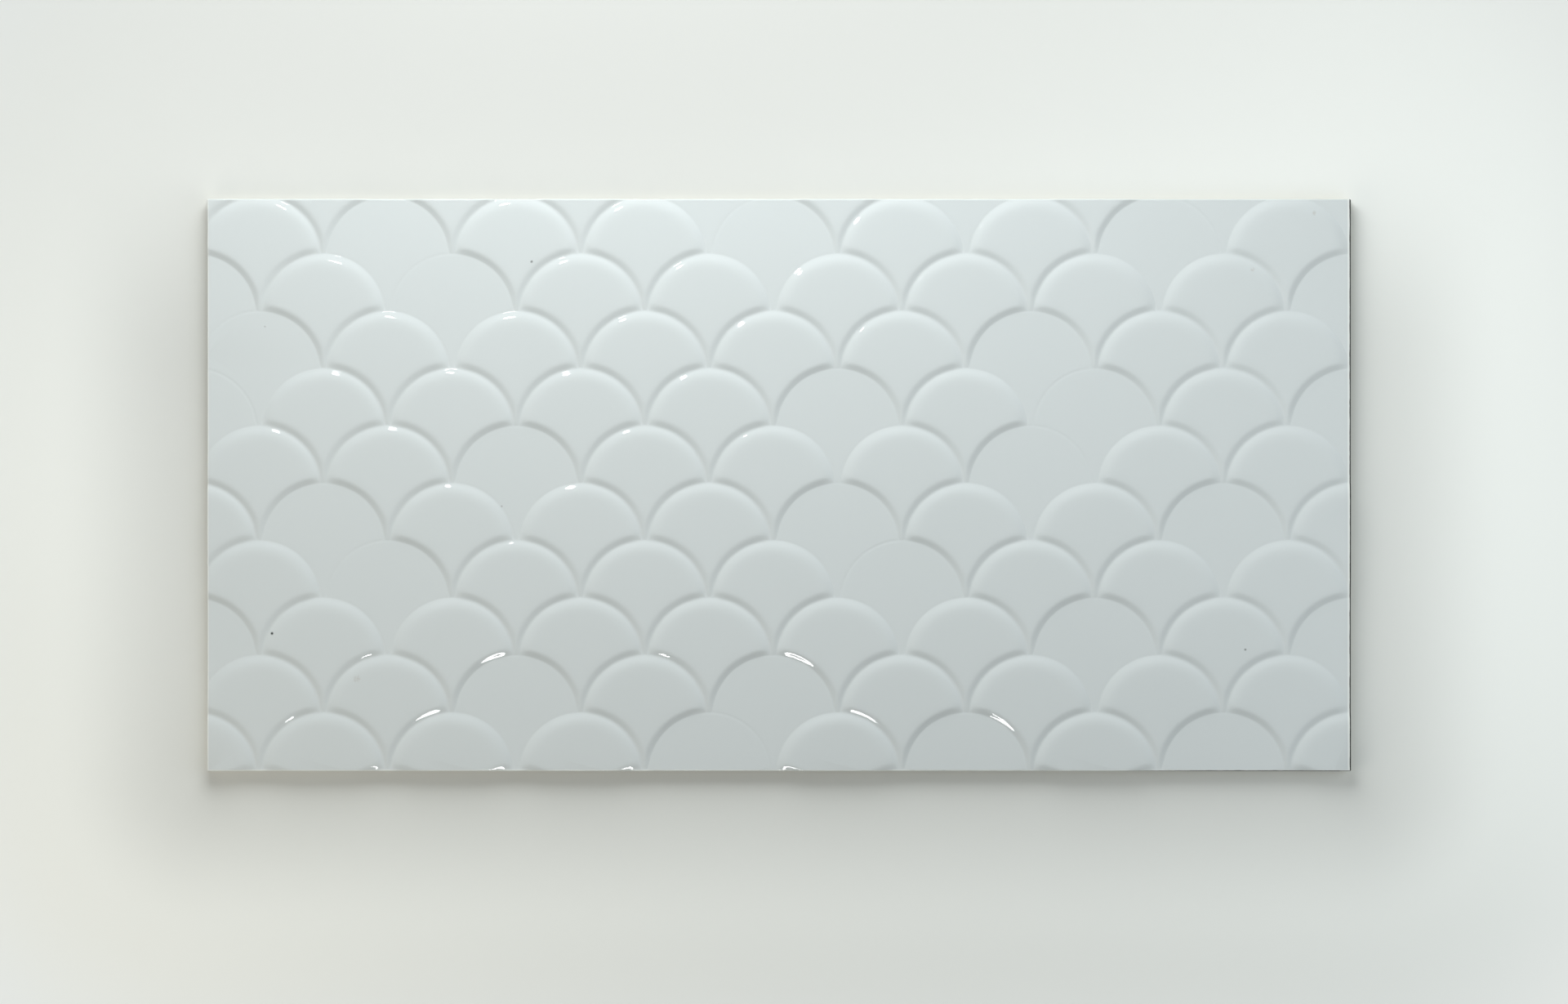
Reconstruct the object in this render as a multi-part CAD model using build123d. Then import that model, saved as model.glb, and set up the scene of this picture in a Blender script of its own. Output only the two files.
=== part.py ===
from build123d import *
import math
import os

# A glazed ceramic wall tile with a fish-scale relief, pressed and fired as one piece.
# It lies on its back: X runs along the length, Z out of the face, and the scales' round
# ends point along Y.
# The origin is at the middle of the back.

# Overall size
tile_length = 600.0
tile_width = 300.0
body_thickness = 7.5        # from the back to the floor of the relief
corner_radius = 1.0         # upright corners of the pressed body

# Fish-scale relief
relief_height = 1.5         # raised scales stand this far above the low ones
scale_radius = 32.3         # to the groove line round a scale
rim_width = 7.6             # droop towards a scale's own round end
rim_bend_in = 2.6           # the droop is steeper over this width next to the groove line
rim_bend_rise = 0.95        # and rises this far there
wall_width = 4.3            # straight wall down to the scales of the next row
scale_pitch = 67.45         # between neighbours in a row
row_pitch = 30.08           # between rows
pattern_shift = -2.96       # the middle scale of an even row, from the tile's centre
first_row_inset = 30.91     # centre of the first full row, below the far edge
first_column = 4            # scales left of the middle one in each line of the map

# Arris between the face and the sides, which the glaze rounds over
arris_width = 0.9
arris_drop = 0.7            # below the floor of the relief

# Ribs on the back, which key the tile to its adhesive
back_margin = 12.0
key_pitch = 15.0
rib_width = 4.0
key_depth = 0.6
key_draft = 45.0            # degrees, so that the press lets go

# Raised (R) and low (L) scales, one line for each row from the far edge.
# Rows that begin half a pitch further left hold one scale more.
scale_levels = (
    "RRRRLRLRLL",
    "RLRRLRRLR",
    "LRLRRRRRRL",
    "LRRRRRLRR",
    "LRRRRLRLRL",
    "RRLRRRLRR",
    "RLRRRLRRLR",
    "RLRRRLRRR",
    "LRRRRRRLRL",
    "RRLRLRRRR",
    "RRRRLRLRLR",
)

base_up = (Align.CENTER, Align.CENTER, Align.MIN)
total_thickness = body_thickness + relief_height


# The pressed outline: upright sides, round corners and the sloping arris
def tile_envelope():
    outline = RectangleRounded(tile_length, tile_width, corner_radius)
    block = extrude(outline, total_thickness)
    top_edges = block.faces().sort_by(Axis.Z)[-1].edges()
    return chamfer(top_edges, arris_drop + relief_height, arris_width)


# One raised scale: a low cone of two slopes, cut by the two scales of the next row
# and by the one below them, whose walls slope the other way
def raised_scale():
    bend_radius = scale_radius - rim_bend_in
    crest_radius = scale_radius - rim_width
    scale = Cone(scale_radius, bend_radius, rim_bend_rise, align=base_up)
    crown = Cone(bend_radius, crest_radius, relief_height - rim_bend_rise, align=base_up)
    scale += Pos(0, 0, rim_bend_rise) * crown
    wall = Pos(0, 0, -relief_height) * Cone(
        scale_radius - wall_width,
        scale_radius + 2 * wall_width,
        3 * relief_height,
        align=base_up,
    )
    next_scales = (
        (-scale_pitch / 2, -row_pitch),
        (scale_pitch / 2, -row_pitch),
        (0, -2 * row_pitch),
    )
    for x, y in next_scales:
        scale -= Pos(x, y, 0) * wall
    return scale


# Centres of the raised scales that reach the tile
def raised_centres():
    reach_x = tile_length / 2 + scale_radius
    reach_y = tile_width / 2 + scale_radius
    columns = math.ceil(reach_x / scale_pitch) + 1
    centres = []
    row = 0
    y = tile_width / 2 - first_row_inset + row_pitch
    while y > -reach_y:
        levels = scale_levels[row % len(scale_levels)]
        half_step = 0.5 if row % 2 == 0 else 0.0
        for column in range(-columns, columns + 1):
            x = pattern_shift + (column - half_step) * scale_pitch
            level = levels[(column + first_column) % len(levels)]
            if abs(x) < reach_x and level == "R":
                centres.append((x, y))
        row += 1
        y -= row_pitch
    return centres


# Shallow channels between the ribs of the back, cut in from the bedding face
def key_channels():
    field = tile_width - 2 * back_margin + rib_width
    count = math.floor(field / key_pitch)
    outline = Rectangle(tile_length - 2 * back_margin, key_pitch - rib_width)
    channel = extrude(outline, key_depth, taper=key_draft)
    first = -(count - 1) / 2 * key_pitch
    return [Pos(0, first + i * key_pitch, 0) * channel for i in range(count)]


envelope = tile_envelope()
lower_half = Box(2 * tile_length, 2 * tile_width, body_thickness, align=base_up)
body = envelope & lower_half

scale = raised_scale()
inner_x = tile_length / 2 - arris_width - scale_radius
inner_y = tile_width / 2 - arris_width - scale_radius
scales = []
for x, y in raised_centres():
    placed = Pos(x, y, body_thickness) * scale
    if abs(x) > inner_x or abs(y) > inner_y:
        placed = placed & envelope
    scales.append(placed)

tile = body.fuse(*scales) if scales else body
tile = tile.cut(*key_channels())

os.makedirs("parts", exist_ok=True)
export_step(tile, "parts/tile.step")
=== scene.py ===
import bpy
import math
import numpy as np
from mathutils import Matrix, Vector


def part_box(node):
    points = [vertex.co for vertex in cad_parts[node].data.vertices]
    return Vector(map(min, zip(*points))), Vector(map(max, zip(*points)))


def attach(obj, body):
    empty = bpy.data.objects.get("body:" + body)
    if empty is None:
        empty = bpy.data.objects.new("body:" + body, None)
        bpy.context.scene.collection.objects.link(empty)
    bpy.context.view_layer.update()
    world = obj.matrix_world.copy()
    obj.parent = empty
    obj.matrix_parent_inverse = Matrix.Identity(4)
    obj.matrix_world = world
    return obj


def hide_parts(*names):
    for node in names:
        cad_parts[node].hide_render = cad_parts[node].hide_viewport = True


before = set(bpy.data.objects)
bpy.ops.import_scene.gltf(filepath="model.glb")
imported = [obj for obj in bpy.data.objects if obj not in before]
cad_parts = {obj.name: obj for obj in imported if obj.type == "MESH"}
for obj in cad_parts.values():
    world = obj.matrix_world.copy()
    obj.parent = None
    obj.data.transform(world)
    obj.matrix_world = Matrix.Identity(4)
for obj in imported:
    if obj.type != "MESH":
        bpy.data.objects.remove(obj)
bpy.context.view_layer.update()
print("frame loaded")

mm = 0.001
lowCorner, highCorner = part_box("tile")
halfLength = (highCorner.x - lowCorner.x) / 2 / mm
halfWidth = (highCorner.y - lowCorner.y) / 2 / mm
thickness = (highCorner.z - lowCorner.z) / mm

# the fish-scale relief, in millimetres
relief = {
    "scaleRadius": 32.3,      # groove line round a scale
    "scalePitch": 67.45,
    "rowPitch": 30.08,
    "patternShift": -2.96,    # middle scale of an even row
    "firstRowInset": 30.91,   # centre of the first full row, below the far edge
    "height": 1.5,            # raised scales above the low ones
    "rimWidth": 7.6,          # rounded droop towards a scale's own arc
    "rimPower": 1.5,
    "wallWidth": 3.8,         # steeper wall down to a raised scale of the next row
    "openWallWidth": 3.2,     # and down to a low one
    "wallPower": 0.3,
    "tilt": 0.2,              # share of its height that a raised scale loses towards its walls
    "tiltStart": 0.75,        # where that begins, in scale radii above its centre
    "turnWidth": 8.0,         # between the neighbour above on the left and on the right
    "glazeFill": 0.7,         # how far the glaze evens out a corner
    "pooling": 0.6,           # glaze gathered at the foot of a rim beside a low scale
    "openPooling": 0.3,       # and at the foot of a wall
    "creaseDepth": 0.12,      # line between two low scales
    "creaseWidth": 0.6,
    "creaseFade": 8,          # how fast the line ends where the relief rises
}

# raised (R) and low (L) scales, row by row from the far edge
scaleLevels = (
    "RRRRLRLRLL",
    "RLRRLRRLR",
    "LRLRRRRRRL",
    "LRRRRRLRR",
    "LRRRRLRLRL",
    "RRLRRRLRR",
    "RLRRRLRRLR",
    "RLRRRLRRR",
    "LRRRRRRLRL",
    "RRLRLRRRR",
    "RRRRLRLRLR",
)
middleColumn = 4              # letters left of the middle scale in each row

# points along a scale's outline and the rings drawn inside it
scaleMesh = {
    "sidePoints": 22,         # from a side cusp to the tip, and on half the arc
    "tipPoints": 2,           # across the blunt tip
    "ringJoin": 0.002,        # points of one scale this close are one
    "scaleJoin": 0.01,        # and points of neighbouring scales
    "cutJoin": 0.0001,        # a point this close to a cut is on it
    "raisedInsets": (0, 0.4, 0.8, 1.2, "tip", 2.3, 3.0, 3.7, 4.5, 5.5, 6.8, 8.6),
    "lowInsets": (0, 0.6, 1.1, "tip", 2.6, 3.8),
}

# edges of the tile, in millimetres
arris = {
    "width": 0.6,             # rounded edge of the glazed face
    "drop": 0.7,
    "steps": 4,
    "cornerCut": 0.5,         # upright corners
    "glazeOverrun": 1.6,      # glaze that ran down the sides, below the relief floor
}

# channels between the ribs of the back, in millimetres
back = {
    "margin": 12.0,
    "pitch": 15.0,
    "ribWidth": 4.0,
    "depth": 0.6,
}


def deselectAll():
    for thing in bpy.context.selected_objects:
        thing.select_set(False)
    bpy.context.view_layer.objects.active = None


def makeActive(thing):
    deselectAll()
    thing.select_set(True)
    bpy.context.view_layer.objects.active = thing


# crossing of two circles, on the side of the first one's right hand or left hand
def circleCrossing(first, firstRadius, second, secondRadius, side):
    gapX, gapY = second[0] - first[0], second[1] - first[1]
    gap = math.hypot(gapX, gapY)
    along = (firstRadius ** 2 - secondRadius ** 2 + gap ** 2) / (2 * gap)
    across = side * math.sqrt(max(firstRadius ** 2 - along ** 2, 0))
    return (
        first[0] + (along * gapX - across * gapY) / gap,
        first[1] + (along * gapY + across * gapX) / gap,
    )


def angleFrom(centre, point):
    return math.atan2(point[1] - centre[1], point[0] - centre[0])


def arcPoints(centre, radius, start, end, shares):
    return [
        (
            centre[0] + radius * math.cos(start + share * (end - start)),
            centre[1] + radius * math.sin(start + share * (end - start)),
        )
        for share in shares
    ]


radius = relief["scaleRadius"]
halfPitch = relief["scalePitch"] / 2
rowPitch = relief["rowPitch"]
rightNext = (halfPitch, -rowPitch)
leftNext = (-halfPitch, -rowPitch)
belowNext = (0.0, -2 * rowPitch)

# how far from a corner the glaze still evens it out
glazeReach = 4 * relief["glazeFill"]

# inset at which the two side walls meet above the blunt tip
tipMeet = (halfPitch ** 2 - 3 * rowPitch ** 2) / (2 * rowPitch)
tipInset = tipMeet + 2 * rowPitch - radius


# one ring of a scale's outline, moved in from the groove line by an inset
def ringOutline(inset):
    sidePoints, tipPoints = scaleMesh["sidePoints"], scaleMesh["tipPoints"]
    ownRadius, nextRadius = radius - inset, radius + inset
    blunt = inset < tipInset
    rightCusp = circleCrossing((0, 0), ownRadius, rightNext, nextRadius, 1)
    if blunt:
        tip = circleCrossing(rightNext, nextRadius, belowNext, nextRadius, -1)
    else:
        tip = (0.0, -rowPitch + math.sqrt(nextRadius ** 2 - halfPitch ** 2))

    # the arc's points fall where the scales above it end on the groove line
    grooveCusp = circleCrossing((0, 0), radius, rightNext, radius, 1)
    first = angleFrom((0, 0), grooveCusp)
    middle = math.pi - angleFrom(rightNext, grooveCusp)
    joints = (first, middle, math.pi - middle, math.pi - first)
    shares = []
    for low, high, count in zip(joints, joints[1:], (sidePoints, tipPoints, sidePoints)):
        angles = [low + (high - low) * i / count for i in range(count)]
        shares += [(angle - first) / (math.pi - 2 * first) for angle in angles]
    start = angleFrom((0, 0), rightCusp)
    ownArc = arcPoints((0, 0), ownRadius, start, math.pi - start, shares)

    sideShares = [i / sidePoints for i in range(sidePoints)]
    cuspAngle = angleFrom(rightNext, rightCusp)
    tipAngle = angleFrom(rightNext, tip)
    rightWall = arcPoints(rightNext, nextRadius, cuspAngle, tipAngle, sideShares + [1.0])
    leftWall = [(-x, y) for x, y in rightWall]
    tipAngles = angleFrom(belowNext, tip)
    tipShares = [i / tipPoints for i in range(1, tipPoints)]
    if blunt:
        tipArc = arcPoints(belowNext, nextRadius, math.pi - tipAngles, tipAngles, tipShares)
    else:
        tipArc = [tip] * len(tipShares)
    return ownArc + leftWall + tipArc + rightWall[:0:-1]


# one flat scale: rings of its outline, bridged and filled
def makeScale(name, insets):
    deselectAll()
    rings = [ringOutline(tipInset if inset == "tip" else inset) for inset in insets]
    bpy.ops.mesh.primitive_circle_add(vertices=len(rings[0]), radius=radius * mm, fill_type="NOTHING")
    scale = bpy.context.object
    scale.name = name
    bpy.ops.object.mode_set(mode="EDIT")
    for _ in rings[1:]:
        bpy.ops.mesh.primitive_circle_add(vertices=len(rings[0]), radius=radius * mm, fill_type="NOTHING")
    bpy.ops.object.mode_set(mode="OBJECT")
    places = [(x * mm, y * mm, 0) for ring in rings for x, y in ring]
    for vertex, place in zip(scale.data.vertices, places):
        vertex.co = place
    bpy.ops.object.mode_set(mode="EDIT")
    bpy.ops.mesh.select_all(action="SELECT")
    bpy.ops.mesh.bridge_edge_loops()
    bpy.ops.object.mode_set(mode="OBJECT")
    count = len(rings[0])
    inner = len(places) - count
    for vertex in scale.data.vertices:
        vertex.select = vertex.index >= inner
    for edge in scale.data.edges:
        edge.select = all(i >= inner for i in edge.vertices)
    for face in scale.data.polygons:
        face.select = False
    bpy.ops.object.mode_set(mode="EDIT")
    bpy.ops.mesh.select_mode(type="EDGE")
    bpy.ops.mesh.edge_face_add()
    bpy.ops.mesh.select_all(action="SELECT")
    bpy.ops.mesh.remove_doubles(threshold=scaleMesh["ringJoin"] * mm)
    bpy.ops.object.mode_set(mode="OBJECT")
    print(name, len(scale.data.polygons), "faces")
    return scale


# centre and level of every scale that reaches the tile
def scalePlaces():
    places = []
    row = 0
    y = halfWidth - relief["firstRowInset"] + rowPitch
    while y > -halfWidth - radius:
        levels = scaleLevels[row % len(scaleLevels)]
        halfStep = 0.5 if row % 2 == 0 else 0.0
        for column in range(len(levels)):
            x = relief["patternShift"] + (column - middleColumn - halfStep) * relief["scalePitch"]
            places.append((x, y, levels[column] == "R"))
        row += 1
        y -= rowPitch
    return places


# height of a slope against the distance in from its foot, evened out by the glaze
def slopeTable(width, power):
    step = 0.02
    reach = glazeReach
    distance = np.arange(-reach, width + reach, step)
    share = np.clip(distance / width, 0, 1)
    height = 1 - (1 - share) ** (power + 1)
    kernelReach = np.arange(-reach, reach + step / 2, step)
    kernel = np.exp(-0.5 * (kernelReach / relief["glazeFill"]) ** 2)
    padded = np.pad(height, len(kernel) // 2, mode="edge")
    smooth = np.convolve(padded, kernel / kernel.sum(), mode="valid")[: len(distance)]
    return distance, smooth


# whether the scale at a step from this one is raised
def neighbourLevels(places):
    levels = {(round(x), round(y)): raised for x, y, raised in places}
    steps = (leftNext, rightNext, belowNext, (-halfPitch, rowPitch), (halfPitch, rowPitch))
    return [
        [levels.get((round(x + stepX), round(y + stepY)), raised) for stepX, stepY in steps]
        for x, y, raised in places
    ]


# height of the relief over its floor at many points
def reliefHeights(x, y, places):
    rim = slopeTable(relief["rimWidth"], relief["rimPower"])
    wall = slopeTable(relief["wallWidth"], relief["wallPower"])
    openWall = slopeTable(relief["openWallWidth"], relief["wallPower"])
    heights = np.zeros(len(x))
    crease = np.zeros(len(x))
    reach = radius + glazeReach
    for (centreX, centreY, raised), around in zip(places, neighbourLevels(places)):
        dx, dy = x - centreX, y - centreY
        near = np.where((np.abs(dx) < reach) & (np.abs(dy) < reach))[0]
        dx, dy = dx[near], dy[near]
        toRim = radius - np.hypot(dx, dy)
        walls = [np.hypot(dx - nx, dy - ny) - radius for nx, ny in (leftNext, rightNext, belowNext)]
        if raised:
            turn = np.clip(0.5 + dx / relief["turnWidth"], 0, 1)
            leftPool, rightPool = (0 if level else relief["pooling"] for level in around[3:])
            share = np.interp(toRim - leftPool * (1 - turn) - rightPool * turn, *rim)
            share = share * (1 - relief["tilt"] * np.clip(relief["tiltStart"] - dy / radius, 0, 1))
            for toWall, level in zip(walls, around):
                foot = 0 if level else relief["openPooling"]
                share = share * np.interp(toWall - foot, *(wall if level else openWall))
            heights[near] += share
        depth = np.minimum(toRim, np.minimum(walls[0], np.minimum(walls[1], walls[2])))
        line = np.exp(-(depth / relief["creaseWidth"]) ** 2)
        crease[near] = np.maximum(crease[near], line)
    flat = np.clip(1 - relief["creaseFade"] * heights, 0, 1)
    return np.minimum(heights, 1) * relief["height"] - crease * flat * relief["creaseDepth"]


# copies of the raised and the low scale, joined where their grooves meet
def layScales(places):
    raisedScale = makeScale("raisedScale", scaleMesh["raisedInsets"])
    lowScale = makeScale("lowScale", scaleMesh["lowInsets"])
    copies = []
    for centreX, centreY, raised in places:
        source = raisedScale if raised else lowScale
        copy = bpy.data.objects.new("scaleCopy", source.data.copy())
        bpy.context.scene.collection.objects.link(copy)
        for vertex in copy.data.vertices:
            vertex.co.x += centreX * mm
            vertex.co.y += centreY * mm
        copies.append(copy)
    deselectAll()
    for copy in copies:
        copy.select_set(True)
    bpy.context.view_layer.objects.active = copies[0]
    bpy.ops.object.join()
    tile = bpy.context.object
    tile.name = "glazedTile"
    for source in (raisedScale, lowScale):
        bpy.data.objects.remove(source)
    bpy.ops.object.mode_set(mode="EDIT")
    bpy.ops.mesh.select_all(action="SELECT")
    bpy.ops.mesh.remove_doubles(threshold=scaleMesh["scaleJoin"] * mm)
    bpy.ops.object.mode_set(mode="OBJECT")
    print("scales laid:", len(copies))
    return tile


def cutLine(place, normal, keep=False):
    bpy.ops.mesh.select_all(action="SELECT")
    bpy.ops.mesh.bisect(
        plane_co=[value * mm for value in place],
        plane_no=normal,
        clear_outer=not keep,
        threshold=scaleMesh["cutJoin"] * mm,
    )


# the pattern runs off every edge, where the arris is rounded in a few steps
def trimToTile(tile):
    makeActive(tile)
    bpy.ops.object.mode_set(mode="EDIT")
    for sideX, sideY in ((1, 0), (-1, 0), (0, 1), (0, -1)):
        edge = (sideX * halfLength, sideY * halfWidth, 0)
        cutLine(edge, (sideX, sideY, 0))
    for sideX in (1, -1):
        for sideY in (1, -1):
            corner = (sideX * (halfLength - arris["cornerCut"]), sideY * halfWidth, 0)
            cutLine(corner, (sideX, sideY, 0))
    for step in range(arris["steps"]):
        inset = arris["width"] * (1 - math.sin(math.pi / 2 * step / arris["steps"]))
        for sideX, sideY in ((1, 0), (-1, 0), (0, 1), (0, -1)):
            place = (sideX * (halfLength - inset), sideY * (halfWidth - inset), 0)
            cutLine(place, (sideX, sideY, 0), keep=True)
    bpy.ops.object.mode_set(mode="OBJECT")


def raiseRelief(tile, places):
    count = len(tile.data.vertices)
    coords = np.empty(count * 3)
    tile.data.vertices.foreach_get("co", coords)
    coords = coords.reshape(-1, 3)
    x, y = coords[:, 0] / mm, coords[:, 1] / mm
    floor = thickness - relief["height"]
    beyondX = np.clip(np.abs(x) - (halfLength - arris["width"]), 0, arris["width"])
    beyondY = np.clip(np.abs(y) - (halfWidth - arris["width"]), 0, arris["width"])
    beyond = np.minimum(np.hypot(beyondX, beyondY) / arris["width"], 1)
    drop = arris["drop"] * (1 - np.sqrt(1 - beyond ** 2))
    coords[:, 2] = (floor + reliefHeights(x, y, places) - drop) * mm
    tile.data.vertices.foreach_set("co", coords.ravel())
    tile.data.update()
    print("relief raised on", count, "points")


# the sides go straight down to the back
def extrudeSides(tile):
    makeActive(tile)
    floor = thickness - relief["height"]
    bpy.ops.object.mode_set(mode="EDIT")
    bpy.ops.mesh.select_mode(type="EDGE")
    bpy.ops.mesh.select_all(action="DESELECT")
    bpy.ops.mesh.select_non_manifold(
        use_wire=False, use_boundary=True, use_multi_face=False, use_non_contiguous=False, use_verts=False
    )
    for level in (floor - arris["glazeOverrun"], 0):
        bpy.ops.mesh.extrude_edges_move()
        bpy.ops.transform.resize(value=(1, 1, 0), center_override=(0, 0, level * mm))
    bpy.ops.object.mode_set(mode="OBJECT")


# shallow channels between the ribs, pressed into the back
def closeBack(tile):
    makeActive(tile)
    field = 2 * (halfWidth - back["margin"]) + back["ribWidth"]
    count = math.floor(field / back["pitch"])
    channelLength = 2 * (halfLength - back["margin"])
    channelWidth = back["pitch"] - back["ribWidth"]
    bpy.ops.object.mode_set(mode="EDIT")
    bpy.ops.mesh.select_mode(type="FACE")
    for i in range(count):
        y = (i - (count - 1) / 2) * back["pitch"]
        centre = (0, y * mm, 0)
        bpy.ops.mesh.select_all(action="DESELECT")
        bpy.ops.mesh.primitive_plane_add(size=1, location=centre)
        bpy.ops.transform.resize(
            value=(channelLength * mm, channelWidth * mm, 1), center_override=centre
        )
        bpy.ops.mesh.flip_normals()
        bpy.ops.mesh.inset(thickness=back["depth"] * mm, depth=-back["depth"] * mm)
    bpy.ops.mesh.select_mode(type="EDGE")
    bpy.ops.mesh.select_all(action="DESELECT")
    bpy.ops.mesh.select_non_manifold(
        use_wire=False, use_boundary=True, use_multi_face=False, use_non_contiguous=False, use_verts=False
    )
    bpy.ops.mesh.fill(use_beauty=False)
    bpy.ops.mesh.select_all(action="SELECT")
    bpy.ops.mesh.normals_make_consistent(inside=False)
    bpy.ops.object.mode_set(mode="OBJECT")
    print("back closed with", count, "channels")


# values of the finishes, colours as linear red, green and blue, sizes in millimetres
finish = {
    "glaze": (0.60, 0.655, 0.657),
    "glazeShade": (0.588, 0.645, 0.645),
    "paintedEdgeHighlight": (0.72, 0.765, 0.745),  # painted highlight along the arris of the left, near and right edges
    # near-black painted shade along the right and near arris
    "paintedEdgeShade": (0.03, 0.033, 0.03),
    "glazeRoughness": 0.05,
    "glazeIor": 1.52,
    "glazeMottle": (0.06, 0.006),       # sizes of blotches and grain, in metres
    "glazeRipple": 0.004,
    "biscuit": (0.70, 0.66, 0.58),
    "biscuitShade": (0.60, 0.55, 0.47),
    "biscuitRoughness": 0.85,
    "biscuitMottle": (0.012, 0.0008),
    "biscuitGrain": 0.05,
    "overrunWave": 1.2,                 # how far the glaze's lower edge wanders
    "overrunEdge": 0.1,                 # and how soft it is
    "pinhole": (0.05, 0.055, 0.055),
    "smudge": (0.50, 0.52, 0.50),
    "glazedTurn": 0.05,                 # a face turned upwards by more than this share is glazed
    "sharpAngle": 35,                   # degrees, beyond which an edge stays sharp
}

# marks on the face, in millimetres from its middle
marks = {
    "pinholes": (
        # x, y, radius
        (-145.6, -11.1, 0.5),
        (-266.0, -77.8, 0.4),
        (244.5, -86.3, 0.4),
        (-129.8, 117.1, 0.45),
        (-269.8, 83.1, 0.4),
    ),
    "smudges": (
        (248.4, 112.8, 2.0),
        (280.5, 142.6, 2.2),
        (-221.4, -101.6, 3.0),
    ),
    "pinholeRaggedness": 0.3,
    "smudgeRaggedness": 1.2,
    "raggedScale": 900,
    "fade": (0.5, 1.4),       # full up to the first share of the radius, none beyond the second
}

# lines of painted highlight and painted shade along the edges of the face, as distances in from an edge, in
# millimetres:
# full strength up to the first distance, none beyond the second
edgeLines = {
    "paintedEdgeHighlight": (0.6, 0.85),     # left and near edge
    "rightPaintedEdgeHighlight": (1.6, 1.85),
    "rightPaintedEdgeShade": (0.9, 1.05),
    "nearPaintedEdgeShade": (0.55, 0.7),
    "nearPaintedEdgeShadeReach": (60, 150),  # from the right edge
    "wander": 0.5,                # how far the painted shade's inner edge wanders
}


def newMaterial(name):
    material = bpy.data.materials.new(name)
    material.use_nodes = True
    nodes, links = material.node_tree.nodes, material.node_tree.links
    shader = next(n for n in nodes if n.type == "BSDF_PRINCIPLED")
    return material, nodes, links, shader


# soft blotches and fine grain, used by every finish
def makeMottle():
    group = bpy.data.node_groups.new("mottle", "ShaderNodeTree")
    for name, value in (("Blotch Size", 0.05), ("Grain Size", 0.002)):
        socket = group.interface.new_socket(name=name, in_out="INPUT", socket_type="NodeSocketFloat")
        socket.default_value = value
    for name in ("Blotches", "Grain"):
        group.interface.new_socket(name=name, in_out="OUTPUT", socket_type="NodeSocketFloat")
    nodes, links = group.nodes, group.links
    inputs = nodes.new("NodeGroupInput")
    outputs = nodes.new("NodeGroupOutput")
    coordinates = nodes.new("ShaderNodeTexCoord")
    for size, result, detail in (("Blotch Size", "Blotches", 2), ("Grain Size", "Grain", 4)):
        divide = nodes.new("ShaderNodeMath")
        divide.operation = "DIVIDE"
        divide.inputs[0].default_value = 1
        noise = nodes.new("ShaderNodeTexNoise")
        noise.inputs["Detail"].default_value = detail
        links.new(inputs.outputs[size], divide.inputs[1])
        links.new(coordinates.outputs["Object"], noise.inputs["Vector"])
        links.new(divide.outputs[0], noise.inputs["Scale"])
        links.new(noise.outputs["Fac"], outputs.inputs[result])
    return group


def addMottle(nodes, group, blotchSize, grainSize):
    node = nodes.new("ShaderNodeGroup")
    node.node_tree = group
    node.inputs["Blotch Size"].default_value = blotchSize
    node.inputs["Grain Size"].default_value = grainSize
    return node


# each colour is a fixed one or another node's output
def blendColours(nodes, links, mask, first, second):
    mix = nodes.new("ShaderNodeMix")
    mix.data_type = "RGBA"
    for socket, colour in ((mix.inputs[6], first), (mix.inputs[7], second)):
        if isinstance(colour, tuple):
            socket.default_value = (*colour, 1)
        else:
            links.new(colour, socket)
    links.new(mask, mix.inputs[0])
    return mix.outputs[2]


# each input is a fixed value or another node's output
def addMath(nodes, links, operation, first, second):
    node = nodes.new("ShaderNodeMath")
    node.operation = operation
    for socket, value in zip(node.inputs, (first, second)):
        if isinstance(value, (int, float)):
            socket.default_value = value
        else:
            links.new(value, socket)
    return node.outputs[0]


# one up to a distance and none beyond it, with a soft step between
def addBand(nodes, links, distance, inner, outer):
    band = nodes.new("ShaderNodeMapRange")
    band.interpolation_type = "SMOOTHSTEP"
    band.inputs["From Min"].default_value = inner * mm
    band.inputs["From Max"].default_value = outer * mm
    band.inputs["To Min"].default_value = 1
    band.inputs["To Max"].default_value = 0
    links.new(distance, band.inputs["Value"])
    return band.outputs[0]


# a round mark of one place and size, with a ragged rim
def makeMark():
    group = bpy.data.node_groups.new("mark", "ShaderNodeTree")
    place = group.interface.new_socket(name="Place", in_out="INPUT", socket_type="NodeSocketVector")
    place.default_value = (0, 0, 0)
    for name, value in (("Radius", 0.001), ("Raggedness", 0.5)):
        socket = group.interface.new_socket(name=name, in_out="INPUT", socket_type="NodeSocketFloat")
        socket.default_value = value
    group.interface.new_socket(name="Mask", in_out="OUTPUT", socket_type="NodeSocketFloat")
    nodes, links = group.nodes, group.links
    inputs = nodes.new("NodeGroupInput")
    outputs = nodes.new("NodeGroupOutput")
    coordinates = nodes.new("ShaderNodeTexCoord")
    offset = nodes.new("ShaderNodeVectorMath")
    offset.operation = "DISTANCE"
    links.new(coordinates.outputs["Object"], offset.inputs[0])
    links.new(inputs.outputs["Place"], offset.inputs[1])
    noise = nodes.new("ShaderNodeTexNoise")
    noise.inputs["Scale"].default_value = marks["raggedScale"]
    noise.inputs["Detail"].default_value = 1
    links.new(coordinates.outputs["Object"], noise.inputs["Vector"])
    ragged = addMath(nodes, links, "MULTIPLY", noise.outputs["Fac"], inputs.outputs["Raggedness"])
    ratio = addMath(nodes, links, "DIVIDE", offset.outputs["Value"], inputs.outputs["Radius"])
    total = addMath(nodes, links, "ADD", ratio, ragged)
    fade = nodes.new("ShaderNodeMapRange")
    fade.interpolation_type = "SMOOTHSTEP"
    fade.inputs["From Min"].default_value = marks["fade"][0]
    fade.inputs["From Max"].default_value = marks["fade"][1]
    fade.inputs["To Min"].default_value = 1
    fade.inputs["To Max"].default_value = 0
    links.new(total, fade.inputs["Value"])
    links.new(fade.outputs[0], outputs.inputs["Mask"])
    return group
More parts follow.
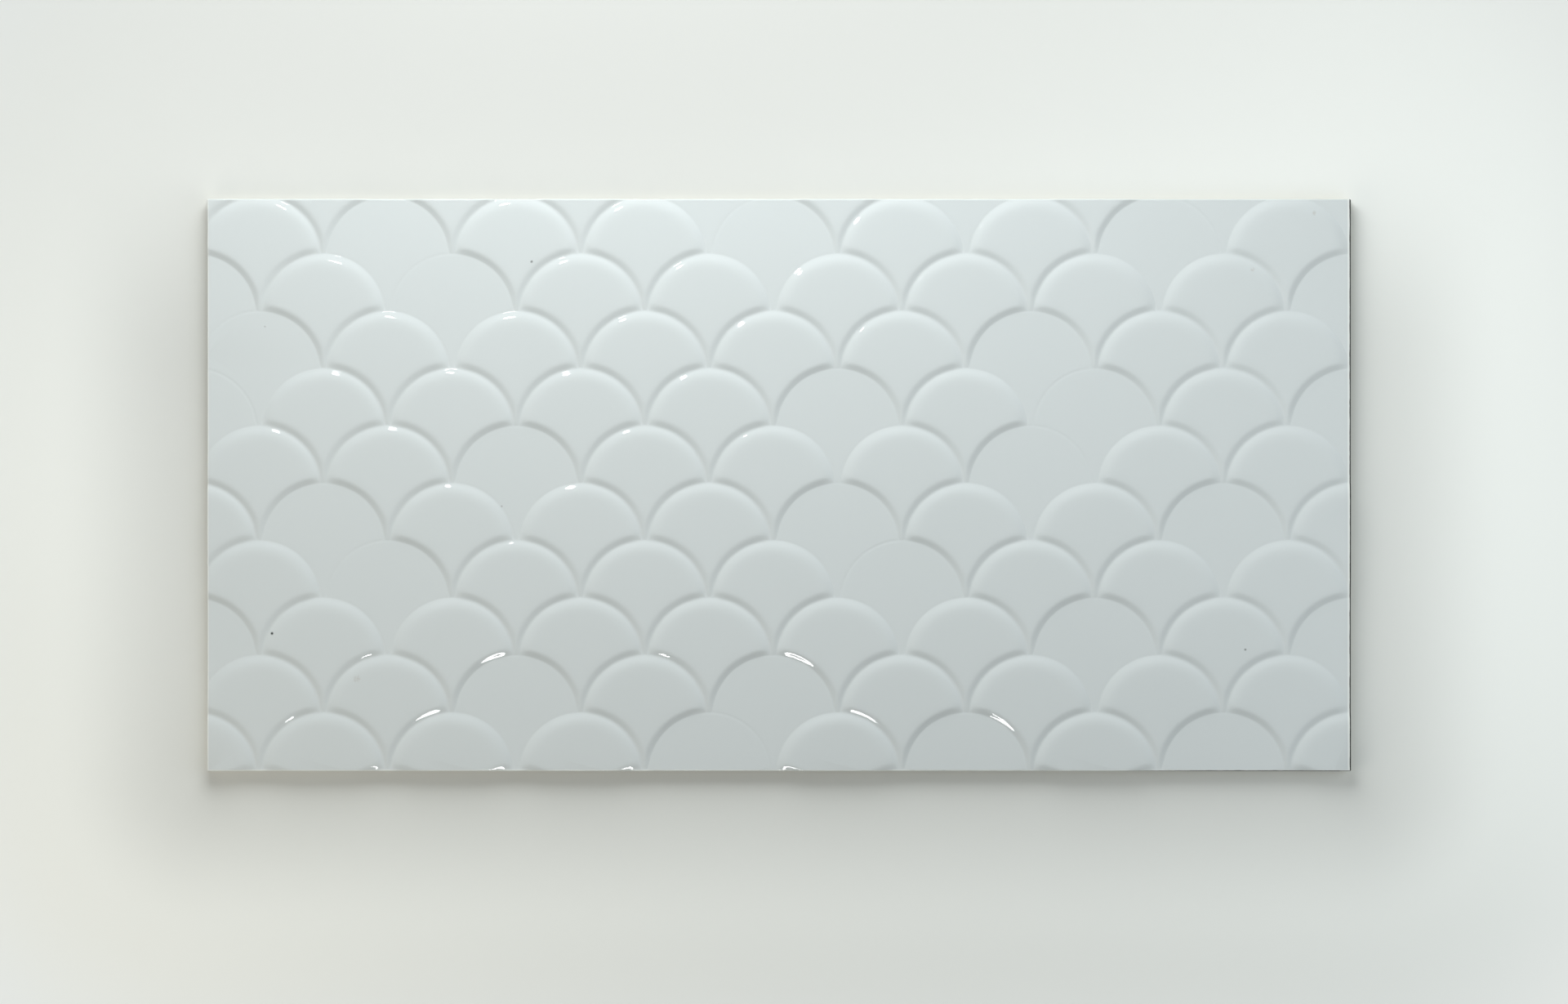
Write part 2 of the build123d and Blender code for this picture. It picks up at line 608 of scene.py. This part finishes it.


# masks of the painted highlight along three edges and of the near-black painted shade on the right and near
# arris
def addEdgeLines(nodes, links, grain):
    coordinates = nodes.new("ShaderNodeTexCoord")
    place = nodes.new("ShaderNodeSeparateXYZ")
    links.new(coordinates.outputs["Object"], place.inputs[0])
    x, y = place.outputs["X"], place.outputs["Y"]
    toRight = addMath(nodes, links, "SUBTRACT", halfLength * mm, x)
    toNear = addMath(nodes, links, "ADD", halfWidth * mm, y)
    toLeft = addMath(nodes, links, "ADD", halfLength * mm, x)
    nearest = addMath(nodes, links, "MINIMUM", toNear, toLeft)
    edgeHighlight = addBand(nodes, links, nearest, *edgeLines["paintedEdgeHighlight"])
    rightEdgeHighlight = addBand(nodes, links, toRight, *edgeLines["rightPaintedEdgeHighlight"])
    edgeHighlight = addMath(nodes, links, "MAXIMUM", edgeHighlight, rightEdgeHighlight)
    wander = addMath(nodes, links, "MULTIPLY", grain, edgeLines["wander"] * mm)
    raggedRight = addMath(nodes, links, "ADD", toRight, wander)
    raggedNear = addMath(nodes, links, "ADD", toNear, wander)
    # painted shade: a ragged near-black line on the right arris, and on the near arris towards the right
    rightPaintedEdgeShade = addBand(nodes, links, raggedRight, *edgeLines["rightPaintedEdgeShade"])
    nearPaintedEdgeShade = addBand(nodes, links, raggedNear, *edgeLines["nearPaintedEdgeShade"])
    reach = addBand(nodes, links, toRight, *edgeLines["nearPaintedEdgeShadeReach"])
    nearPaintedEdgeShade = addMath(nodes, links, "MULTIPLY", nearPaintedEdgeShade, reach)
    return edgeHighlight, addMath(nodes, links, "MAXIMUM", rightPaintedEdgeShade, nearPaintedEdgeShade)


# the strongest of several marks at each point
def addMarks(nodes, links, group, spots, raggedness):
    mask = None
    for x, y, size in spots:
        mark = nodes.new("ShaderNodeGroup")
        mark.node_tree = group
        mark.inputs["Place"].default_value = (x * mm, y * mm, (thickness - relief["height"] / 2) * mm)
        mark.inputs["Radius"].default_value = math.hypot(size, relief["height"] / 2) * mm
        mark.inputs["Raggedness"].default_value = raggedness
        own = mark.outputs["Mask"]
        mask = own if mask is None else addMath(nodes, links, "MAXIMUM", mask, own)
    return mask


def makeGlaze(mottleGroup, markGroup):
    material, nodes, links, shader = newMaterial("whiteGlaze")
    mottle = addMottle(nodes, mottleGroup, *finish["glazeMottle"])
    colour = blendColours(nodes, links, mottle.outputs["Blotches"], finish["glaze"], finish["glazeShade"])
    edgeHighlight, edgeShade = addEdgeLines(nodes, links, mottle.outputs["Grain"])
    # pale painted highlight along the arris of three edges, then near-black painted shade on the right and
    # near arris
    colour = blendColours(nodes, links, edgeHighlight, colour, finish["paintedEdgeHighlight"])
    colour = blendColours(nodes, links, edgeShade, colour, finish["paintedEdgeShade"])
    smudges = addMarks(nodes, links, markGroup, marks["smudges"], marks["smudgeRaggedness"])
    colour = blendColours(nodes, links, smudges, colour, finish["smudge"])
    pinholes = addMarks(nodes, links, markGroup, marks["pinholes"], marks["pinholeRaggedness"])
    colour = blendColours(nodes, links, pinholes, colour, finish["pinhole"])
    links.new(colour, shader.inputs["Base Color"])
    shader.inputs["Roughness"].default_value = finish["glazeRoughness"]
    shader.inputs["IOR"].default_value = finish["glazeIor"]
    bump = nodes.new("ShaderNodeBump")
    bump.inputs["Distance"].default_value = finish["glazeRipple"] * mm
    links.new(mottle.outputs["Grain"], bump.inputs["Height"])
    links.new(bump.outputs["Normal"], shader.inputs["Normal"])
    return material


# bare clay of the sides and back, with the glaze's wandering lower edge on the sides
def makeBiscuit(mottleGroup):
    material, nodes, links, shader = newMaterial("biscuitClay")
    mottle = addMottle(nodes, mottleGroup, *finish["biscuitMottle"])
    clay = blendColours(nodes, links, mottle.outputs["Blotches"], finish["biscuit"], finish["biscuitShade"])
    coordinates = nodes.new("ShaderNodeTexCoord")
    height = nodes.new("ShaderNodeSeparateXYZ")
    links.new(coordinates.outputs["Object"], height.inputs[0])
    wave = addMath(nodes, links, "MULTIPLY", mottle.outputs["Blotches"], 2 * finish["overrunWave"] * mm)
    wave = addMath(nodes, links, "ADD", wave, height.outputs["Z"])
    edge = (thickness - relief["height"] - arris["glazeOverrun"] + finish["overrunWave"]) * mm
    glazed = nodes.new("ShaderNodeMapRange")
    glazed.inputs["From Min"].default_value = edge - finish["overrunEdge"] * mm
    glazed.inputs["From Max"].default_value = edge + finish["overrunEdge"] * mm
    links.new(wave, glazed.inputs["Value"])
    colour = blendColours(nodes, links, glazed.outputs[0], clay, finish["glaze"])
    links.new(colour, shader.inputs["Base Color"])
    roughness = nodes.new("ShaderNodeMapRange")
    roughness.inputs["To Min"].default_value = finish["biscuitRoughness"]
    roughness.inputs["To Max"].default_value = finish["glazeRoughness"]
    links.new(glazed.outputs[0], roughness.inputs["Value"])
    links.new(roughness.outputs[0], shader.inputs["Roughness"])
    bump = nodes.new("ShaderNodeBump")
    bump.inputs["Distance"].default_value = finish["biscuitGrain"] * mm
    links.new(mottle.outputs["Grain"], bump.inputs["Height"])
    links.new(bump.outputs["Normal"], shader.inputs["Normal"])
    return material


# the face is all glaze, and is told from the sides and back by its direction and height
def finishTile(tile, mottleGroup, markGroup):
    tile.data.materials.append(makeGlaze(mottleGroup, markGroup))
    tile.data.materials.append(makeBiscuit(mottleGroup))
    for face in tile.data.polygons:
        glazed = face.normal.z > finish["glazedTurn"] and face.center.z > thickness / 2 * mm
        face.material_index = 0 if glazed else 1
    makeActive(tile)
    bpy.ops.object.shade_smooth_by_angle(angle=math.radians(finish["sharpAngle"]))


# the photograph's frame, in pixels, and the tile in it
photo = {
    "width": 1920,
    "height": 1229,
    "tileLeft": 253.5,
    "tileRight": 1654.5,
    "tileTop": 240.5,
    "tileBottom": 947.0,
    "cameraHeight": 3.0,      # metres above the glazed face
    "viewDepth": 20,          # metres
    "filmWidth": 36,          # millimetres
}


def addCamera():
    pixel = 2 * halfLength * mm / (photo["tileRight"] - photo["tileLeft"])
    middleX = (photo["tileLeft"] + photo["tileRight"]) / 2
    middleY = (photo["tileTop"] + photo["tileBottom"]) / 2
    data = bpy.data.cameras.new("camera")
    camera = bpy.data.objects.new("camera", data)
    bpy.context.scene.collection.objects.link(camera)
    camera.location = (
        (photo["width"] / 2 - middleX) * pixel,
        (middleY - photo["height"] / 2) * pixel,
        thickness * mm + photo["cameraHeight"],
    )
    data.sensor_fit = "HORIZONTAL"
    data.sensor_width = photo["filmWidth"]
    data.lens = photo["filmWidth"] * photo["cameraHeight"] / (photo["width"] * pixel)
    data.clip_end = photo["viewDepth"]
    bpy.context.scene.camera = camera


# tones of the floor, and where one gives way to another, in millimetres
floorTone = {
    "base": (0.865, 0.905, 0.87),
    "blotches": 1.01,             # how much paler they are
    "mottle": (0.6, 0.01),        # sizes of blotches and grain, in metres
    "spread": 8,                  # length and width of the floor, in metres
    "roughness": 0.9,
    "underLamp": (0.51, 0.53, 0.51),
    "underLampBand": (280, 680),  # from the key lamp's foot
    "paintedTileShadow": 0.79,               # share of the colour kept in the painted shadow close round the tile
    "paintedTileShadowBand": (10, 85),       # out from the tile
    "paintedTileShadowReach": (60, 180),     # along Y, fading towards the far side
    "away": (0.77, 0.80, 0.78),
    "awayBand": (90, 200),        # out from the tile
}


def addFloor(group):
    deselectAll()
    bpy.ops.mesh.primitive_plane_add(size=floorTone["spread"], location=(0, 0, 0))
    floor = bpy.context.object
    floor.name = "floor"
    material, nodes, links, shader = newMaterial("paleFloor")
    mottle = addMottle(nodes, group, *floorTone["mottle"])
    paler = tuple(value * floorTone["blotches"] for value in floorTone["base"])
    colour = blendColours(nodes, links, mottle.outputs["Blotches"], floorTone["base"], paler)

    # greyer round the foot of the key lamp, so that the light on it looks even
    coordinates = nodes.new("ShaderNodeTexCoord")
    offset = nodes.new("ShaderNodeVectorMath")
    offset.operation = "DISTANCE"
    keyX, keyY, _ = studio["lamps"][0][1]
    offset.inputs[1].default_value = (keyX, keyY, 0)
    links.new(coordinates.outputs["Object"], offset.inputs[0])
    underLamp = addBand(nodes, links, offset.outputs["Value"], *floorTone["underLampBand"])
    colour = blendColours(nodes, links, underLamp, colour, floorTone["underLamp"])

    # and a painted shadow close round the tile, fading out on the side towards that lamp
    place = nodes.new("ShaderNodeVectorMath")
    place.operation = "ABSOLUTE"
    beyond = nodes.new("ShaderNodeVectorMath")
    beyond.operation = "SUBTRACT"
    beyond.inputs[1].default_value = (halfLength * mm, halfWidth * mm, 0)
    outside = nodes.new("ShaderNodeVectorMath")
    outside.operation = "MAXIMUM"
    outside.inputs[1].default_value = (0, 0, 0)
    gap = nodes.new("ShaderNodeVectorMath")
    gap.operation = "LENGTH"
    links.new(coordinates.outputs["Object"], place.inputs[0])
    for first, second in ((place, beyond), (beyond, outside), (outside, gap)):
        links.new(first.outputs[0], second.inputs[0])
    depth = nodes.new("ShaderNodeSeparateXYZ")
    links.new(coordinates.outputs["Object"], depth.inputs[0])
    paintedTileShadow = addBand(nodes, links, gap.outputs["Value"], *floorTone["paintedTileShadowBand"])
    reach = addBand(nodes, links, depth.outputs["Y"], *floorTone["paintedTileShadowReach"])
    paintedTileShadow = addMath(nodes, links, "MULTIPLY", paintedTileShadow, reach)
    greyer = nodes.new("ShaderNodeVectorMath")
    greyer.operation = "SCALE"
    greyer.inputs["Scale"].default_value = floorTone["paintedTileShadow"]
    links.new(colour, greyer.inputs[0])
    colour = blendColours(nodes, links, paintedTileShadow, colour, greyer.outputs[0])
    links.new(colour, shader.inputs["Base Color"])
    shader.inputs["Roughness"].default_value = floorTone["roughness"]

    # farther off it is plain where it is seen or mirrored
    close = addBand(nodes, links, gap.outputs["Value"], *floorTone["awayBand"])
    away = addMath(nodes, links, "SUBTRACT", 1, close)
    path = nodes.new("ShaderNodeLightPath")
    seen = addMath(nodes, links, "MAXIMUM", path.outputs["Is Camera Ray"], path.outputs["Is Glossy Ray"])
    seen = addMath(nodes, links, "MAXIMUM", seen, path.outputs["Is Transmission Ray"])
    plain = nodes.new("ShaderNodeEmission")
    plain.inputs["Color"].default_value = (*floorTone["away"], 1)
    mix = nodes.new("ShaderNodeMixShader")
    links.new(addMath(nodes, links, "MULTIPLY", seen, away), mix.inputs[0])
    links.new(shader.outputs[0], mix.inputs[1])
    links.new(plain.outputs[0], mix.inputs[2])
    output = next(n for n in nodes if n.type == "OUTPUT_MATERIAL")
    links.new(mix.outputs[0], output.inputs["Surface"])
    floor.data.materials.append(material)


def aimAt(thing, target):
    x, y, z = (target[i] - thing.location[i] for i in range(3))
    thing.rotation_euler = (math.atan2(math.hypot(x, y), -z), 0, math.atan2(-x, y) if x or y else 0)


def addLamp(name, place, width, height, power, colour, mirrored):
    data = bpy.data.lights.new(name, "AREA")
    data.color = colour
    data.shape = "ELLIPSE"
    data.size = width
    data.size_y = height
    data.energy = power
    lamp = bpy.data.objects.new(name, data)
    bpy.context.scene.collection.objects.link(lamp)
    lamp.location = place
    aimAt(lamp, (0, 0, 0))
    lamp.visible_camera = False
    lamp.visible_glossy = mirrored
    lamp.visible_diffuse = not mirrored


# the room is dim as a light, but white where it is seen or mirrored
def addWorld():
    world = bpy.data.worlds.new("studio")
    bpy.context.scene.world = world
    world.use_nodes = True
    nodes, links = world.node_tree.nodes, world.node_tree.links
    background = nodes["Background"]
    background.inputs["Color"].default_value = (*studio["roomColour"], 1)
    path = nodes.new("ShaderNodeLightPath")
    seen = addMath(nodes, links, "MAXIMUM", path.outputs["Is Camera Ray"], path.outputs["Is Glossy Ray"])
    strength = nodes.new("ShaderNodeMapRange")
    strength.inputs["To Min"].default_value = studio["roomLight"]
    strength.inputs["To Max"].default_value = studio["roomSeen"]
    links.new(seen, strength.inputs["Value"])
    links.new(strength.outputs[0], background.inputs["Strength"])


# places in metres from the middle of the back, power in watts
studio = {
    "lamps": (
        # name, place, width, height, power, colour
        ("keyLamp", (-0.10, 0.57, 0.40), 0.70, 0.70, 6.6, (1.0, 1.0, 1.0)),
        ("leftFill", (-0.63, -0.46, 0.46), 0.65, 0.65, 2.7, (1.0, 0.93, 0.84)),
        ("rightFill", (0.60, -0.10, 0.42), 0.65, 0.65, 1.8, (0.95, 0.98, 1.0)),
    ),
    "glints": (
        ("leftGlint", (-0.214, 0.384, 0.50), 0.045, 0.07, 0.30, (1.0, 1.0, 1.0)),
        ("rightGlint", (0.0775, 0.3648, 0.202), 0.02, 0.02, 0.03, (1.0, 1.0, 1.0)),
        ("lowGlint", (-0.078, -0.3819, 0.345), 0.20, 0.045, 0.48, (1.0, 1.0, 1.0)),
    ),
    "roomColour": (0.95, 0.98, 1.0),
    "roomLight": 0.10,
    "roomSeen": 0.6,
}


def addLights():
    for values in studio["lamps"]:
        addLamp(*values, mirrored=False)
    for values in studio["glints"]:
        addLamp(*values, mirrored=True)
    addWorld()


places = scalePlaces()
tile = layScales(places)
trimToTile(tile)
raiseRelief(tile, places)
extrudeSides(tile)
closeBack(tile)
mottle = makeMottle()
finishTile(tile, mottle, makeMark())
print("tile made, triangles", sum(len(f.vertices) - 2 for f in tile.data.polygons))
addCamera()
addFloor(mottle)
addLights()
bpy.context.scene.view_settings.view_transform = "Standard"
print("studio set")

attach(tile, "root")
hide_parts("tile")
